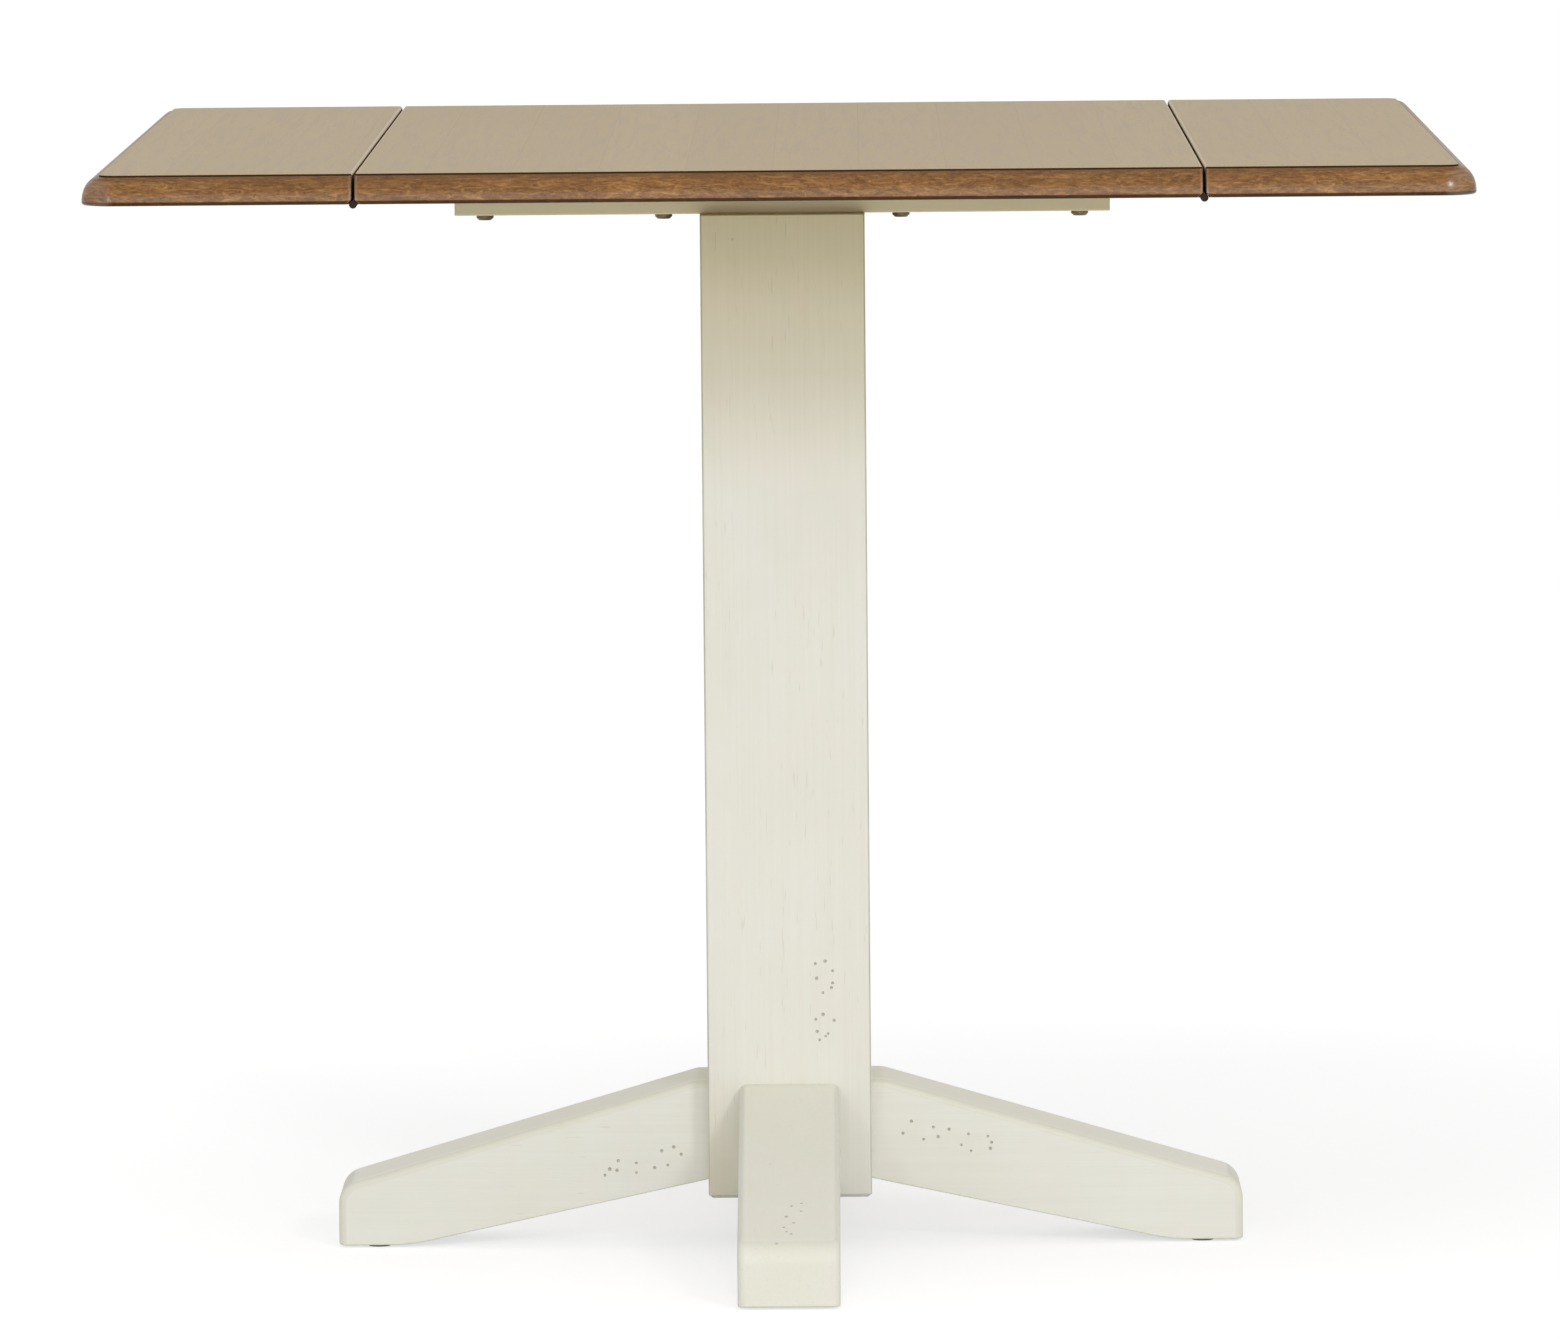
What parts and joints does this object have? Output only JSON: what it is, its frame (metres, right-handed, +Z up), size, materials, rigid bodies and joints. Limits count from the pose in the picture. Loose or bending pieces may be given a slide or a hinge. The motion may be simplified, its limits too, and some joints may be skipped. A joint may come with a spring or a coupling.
{
  "type": "drop leaf table",
  "caption": "Counter-height pedestal table with hinged drop leaves, folding leaf braces, a square painted column and spreading feet.",
  "frame": {"origin": "on the floor, under the middle of the column and of the whole table with its leaves up", "axes": "+Z up, +X along the table towards the right leaf, +Y towards the back"},
  "size_m": [1.084, 1.005, 0.914],
  "materials": {
    "stained_top": "satin stained and lacquered, with a browner moulded edge",
    "cream_paint": "matte cream paint over wood, lightly brushed and distressed",
    "bronze_steel": "dark bronze plated steel",
    "zinc_steel": "dull zinc plate",
    "bare_beech": "unfinished",
    "grey_glide": "grey plastic glide"
  },
  "bodies": {
    "root": {"centre_top": "stained_top", "left_hinge_fixed_plate": "bronze_steel", "left_hinge_pin": "zinc_steel", "left_hinge_fixed_screws": "bronze_steel", "right_hinge_fixed_plate": "bronze_steel", "right_hinge_pin": "zinc_steel", "right_hinge_fixed_screws": "bronze_steel", "left_front_fixed_bracket": "zinc_steel", "left_rear_fixed_bracket": "zinc_steel", "right_front_fixed_bracket": "zinc_steel", "right_rear_fixed_bracket": "zinc_steel", "fixed_pivot_rivets": "zinc_steel", "fixed_bracket_screws": "zinc_steel", "top_cleat": "cream_paint", "top_bolts": "bronze_steel", "top_inserts": "zinc_steel", "column_screws": "zinc_steel", "column_front_board": "cream_paint", "column_back_board": "cream_paint", "column_left_board": "cream_paint", "column_right_board": "cream_paint", "column_top_block": "bare_beech", "foot_front": "cream_paint", "foot_back": "cream_paint", "foot_left": "cream_paint", "foot_right": "cream_paint", "foot_hanger_bolts": "zinc_steel", "foot_washers": "zinc_steel", "foot_nuts": "zinc_steel", "foot_dowels": "bare_beech", "foot_glides": "grey_glide"},
    "left_leaf": {"left_leaf": "stained_top", "left_hinge_leaf_plate": "bronze_steel", "left_hinge_leaf_screws": "bronze_steel", "left_front_leaf_bracket": "zinc_steel", "left_rear_leaf_bracket": "zinc_steel", "left_leaf_pivot_rivets": "zinc_steel", "left_leaf_bracket_screws": "zinc_steel"},
    "right_leaf": {"right_leaf": "stained_top", "right_hinge_leaf_plate": "bronze_steel", "right_hinge_leaf_screws": "bronze_steel", "right_front_leaf_bracket": "zinc_steel", "right_rear_leaf_bracket": "zinc_steel", "right_leaf_pivot_rivets": "zinc_steel", "right_leaf_bracket_screws": "zinc_steel"},
    "left_front_inner": {"left_front_inner_arm": "zinc_steel", "left_front_knee_rivet": "zinc_steel"},
    "left_front_outer": {"left_front_outer_arm": "zinc_steel"},
    "left_rear_inner": {"left_rear_inner_arm": "zinc_steel", "left_rear_knee_rivet": "zinc_steel"},
    "left_rear_outer": {"left_rear_outer_arm": "zinc_steel"},
    "right_front_inner": {"right_front_inner_arm": "zinc_steel", "right_front_knee_rivet": "zinc_steel"},
    "right_front_outer": {"right_front_outer_arm": "zinc_steel"},
    "right_rear_inner": {"right_rear_inner_arm": "zinc_steel", "right_rear_knee_rivet": "zinc_steel"},
    "right_rear_outer": {"right_rear_outer_arm": "zinc_steel"}
  },
  "joints": [
    {"name": "left_leaf_hinge", "type": "hinge", "parent": "root", "child": "left_leaf", "pos_m": [-0.33, 0, 0.8903], "axis": [0, -1, 0], "range_deg": [0, 90]},
    {"name": "left_front_fixed_pivot", "type": "hinge", "parent": "root", "child": "left_front_inner", "pos_m": [-0.282, -0.088, 0.8808], "axis": [0, -1, 0], "range_deg": [0, 90]},
    {"name": "left_front_leaf_pivot", "type": "hinge", "parent": "left_leaf", "child": "left_front_outer", "pos_m": [-0.442, -0.088, 0.8818], "axis": [0, -1, 0], "range_deg": [-90, 0]},
    {"name": "left_rear_fixed_pivot", "type": "hinge", "parent": "root", "child": "left_rear_inner", "pos_m": [-0.282, 0.088, 0.8808], "axis": [0, -1, 0], "range_deg": [0, 90]},
    {"name": "left_rear_leaf_pivot", "type": "hinge", "parent": "left_leaf", "child": "left_rear_outer", "pos_m": [-0.442, 0.088, 0.8818], "axis": [0, -1, 0], "range_deg": [-90, 0]},
    {"name": "right_leaf_hinge", "type": "hinge", "parent": "root", "child": "right_leaf", "pos_m": [0.33, 0, 0.8903], "axis": [0, 1, 0], "range_deg": [0, 90]},
    {"name": "right_front_fixed_pivot", "type": "hinge", "parent": "root", "child": "right_front_inner", "pos_m": [0.282, -0.088, 0.8808], "axis": [0, 1, 0], "range_deg": [0, 90]},
    {"name": "right_front_leaf_pivot", "type": "hinge", "parent": "right_leaf", "child": "right_front_outer", "pos_m": [0.442, -0.088, 0.8818], "axis": [0, 1, 0], "range_deg": [-90, 0]},
    {"name": "right_rear_fixed_pivot", "type": "hinge", "parent": "root", "child": "right_rear_inner", "pos_m": [0.282, 0.088, 0.8808], "axis": [0, 1, 0], "range_deg": [0, 90]},
    {"name": "right_rear_leaf_pivot", "type": "hinge", "parent": "right_leaf", "child": "right_rear_outer", "pos_m": [0.442, 0.088, 0.8818], "axis": [0, 1, 0], "range_deg": [-90, 0]}
  ],
  "couplings": [
    {"joint": "left_front_fixed_pivot", "follows": "left_leaf_hinge", "ratio": 1},
    {"joint": "left_front_leaf_pivot", "follows": "left_leaf_hinge", "ratio": -1},
    {"joint": "left_rear_fixed_pivot", "follows": "left_leaf_hinge", "ratio": 1},
    {"joint": "left_rear_leaf_pivot", "follows": "left_leaf_hinge", "ratio": -1},
    {"joint": "right_front_fixed_pivot", "follows": "right_leaf_hinge", "ratio": 1},
    {"joint": "right_front_leaf_pivot", "follows": "right_leaf_hinge", "ratio": -1},
    {"joint": "right_rear_fixed_pivot", "follows": "right_leaf_hinge", "ratio": 1},
    {"joint": "right_rear_leaf_pivot", "follows": "right_leaf_hinge", "ratio": -1}
  ]
}
